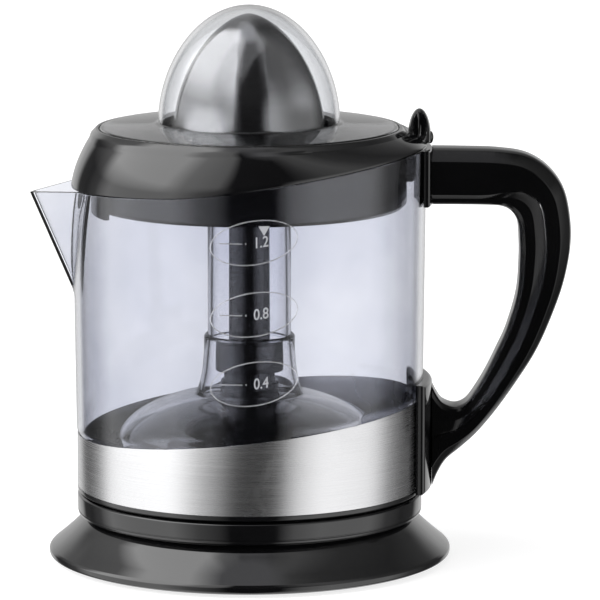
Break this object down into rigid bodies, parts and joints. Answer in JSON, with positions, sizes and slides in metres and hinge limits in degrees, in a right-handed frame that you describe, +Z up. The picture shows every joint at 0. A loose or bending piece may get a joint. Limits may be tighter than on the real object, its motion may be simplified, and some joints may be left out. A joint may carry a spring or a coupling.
{
  "type": "citrus press juicer",
  "caption": "Citrus press juicer: clear jug with spout and D handle on a flared motor base, sloping lid, pressed steel reamer cone under a clear dome.",
  "frame": {"origin": "centre of the foot ring's lower face, on the axis of the spindle, jug and cone", "axes": "+Z up along the spindle; +X towards the handle, -X towards the spout; -Y is the side with the volume marks"},
  "size_m": [0.2207, 0.1656, 0.2285],
  "materials": {
    "black_gloss": "glossy moulded black plastic",
    "black_satin": "satin moulded black plastic",
    "clear_jug": "clear moulded plastic with a faint blue tint",
    "clear_cover": "clear moulded plastic",
    "brushed_steel": "brushed round the band",
    "polished_steel": "pressed and polished stainless steel",
    "bright_steel": "turned steel",
    "rubber": "matte",
    "laminations": "stacked steel sheets",
    "copper": "enamelled copper wire",
    "natural_nylon": "natural nylon",
    "bronze": "sintered bronze",
    "switch_red": "red plastic"
  },
  "bodies": {
    "base": {"foot_shell": "black_gloss", "base_housing": "black_gloss", "base_plate": "black_satin", "foot_ring": "rubber", "plate_screws": "bright_steel", "gear_carrier": "black_satin", "carrier_screws": "bright_steel", "upper_bush": "bronze", "lower_bush": "bronze", "idler_axle": "bright_steel", "stator_core": "laminations", "coil_bobbin": "natural_nylon", "coil_winding": "copper", "bracket_lower": "bright_steel", "bracket_upper": "bright_steel", "return_spring": "bright_steel", "switch_body": "black_satin", "terminal_block": "natural_nylon", "cord_bush": "rubber", "cord_clamp": "natural_nylon"},
    "plunger": {"press_plunger": "natural_nylon"},
    "spindle": {"spindle_rod": "bright_steel", "spindle_sleeve": "black_satin", "drip_cap": "black_satin", "output_gear": "natural_nylon"},
    "idler": {"idler_gear": "natural_nylon"},
    "rotor": {"rotor_core": "laminations", "rotor_shaft": "bright_steel", "rotor_pinion": "natural_nylon"},
    "button": {"switch_button": "switch_red"},
    "jug": {"jug_wall": "clear_jug", "jug_well": "clear_jug", "jug_tube": "clear_jug", "jug_base_ring": "black_gloss", "steel_band": "brushed_steel", "handle_outer": "black_gloss", "handle_inner": "black_satin", "handle_upper_bracket": "black_gloss", "handle_lower_bracket": "black_gloss", "handle_screws": "bright_steel"},
    "collector": {"lid_rim": "black_gloss", "thumb_tab": "black_gloss", "collector": "black_gloss", "strainer": "black_satin"},
    "bush": {"cone_bush": "natural_nylon"},
    "cone": {"cone_core": "black_satin", "cone_shell": "polished_steel", "cone_clip": "bright_steel"},
    "cover": {"dome_cover": "clear_cover"}
  },
  "joints": [
    {"name": "spindle_press", "type": "slide", "parent": "base", "child": "plunger", "axis": [0, 0, -1], "range_m": [0, 0.002], "stiffness_N_per_m": 900, "springref_m": -0.01, "deforming": ["return_spring"]},
    {"name": "spindle_spin", "type": "hinge", "parent": "plunger", "child": "spindle", "pos_m": [0, 0, 0.1], "axis": [0, 0, 1], "continuous": true},
    {"name": "idler_spin", "type": "hinge", "parent": "base", "child": "idler", "pos_m": [-0.01718, 0.01788, 0.05], "axis": [0, 0, 1], "continuous": true},
    {"name": "rotor_spin", "type": "hinge", "parent": "base", "child": "rotor", "pos_m": [-0.03, 0, 0.03], "axis": [0, 0, 1], "continuous": true},
    {"name": "button_press", "type": "slide", "parent": "base", "child": "button", "axis": [0, 0, -1], "range_m": [0, 0.002]},
    {"name": "jug_lift", "type": "slide", "parent": "base", "child": "jug", "axis": [0, 0, 1], "range_m": [0, 0.17]},
    {"name": "collector_lift", "type": "slide", "parent": "jug", "child": "collector", "axis": [0, 0, 1], "range_m": [0, 0.06]},
    {"name": "cone_press", "type": "slide", "parent": "collector", "child": "bush", "axis": [0, 0, -1], "range_m": [0, 0.002]},
    {"name": "cone_spin", "type": "hinge", "parent": "bush", "child": "cone", "pos_m": [0, 0, 0.19], "axis": [0, 0, 1], "continuous": true},
    {"name": "cover_lift", "type": "slide", "parent": "collector", "child": "cover", "axis": [0, 0, 1], "range_m": [0, 0.07]}
  ],
  "couplings": [
    {"joint": "idler_spin", "follows": "spindle_spin", "ratio": -4.1667},
    {"joint": "rotor_spin", "follows": "spindle_spin", "ratio": 16.667},
    {"joint": "cone_spin", "follows": "spindle_spin", "ratio": 1},
    {"joint": "button_press", "follows": "spindle_press", "ratio": 1},
    {"joint": "cone_press", "follows": "spindle_press", "ratio": 1}
  ]
}
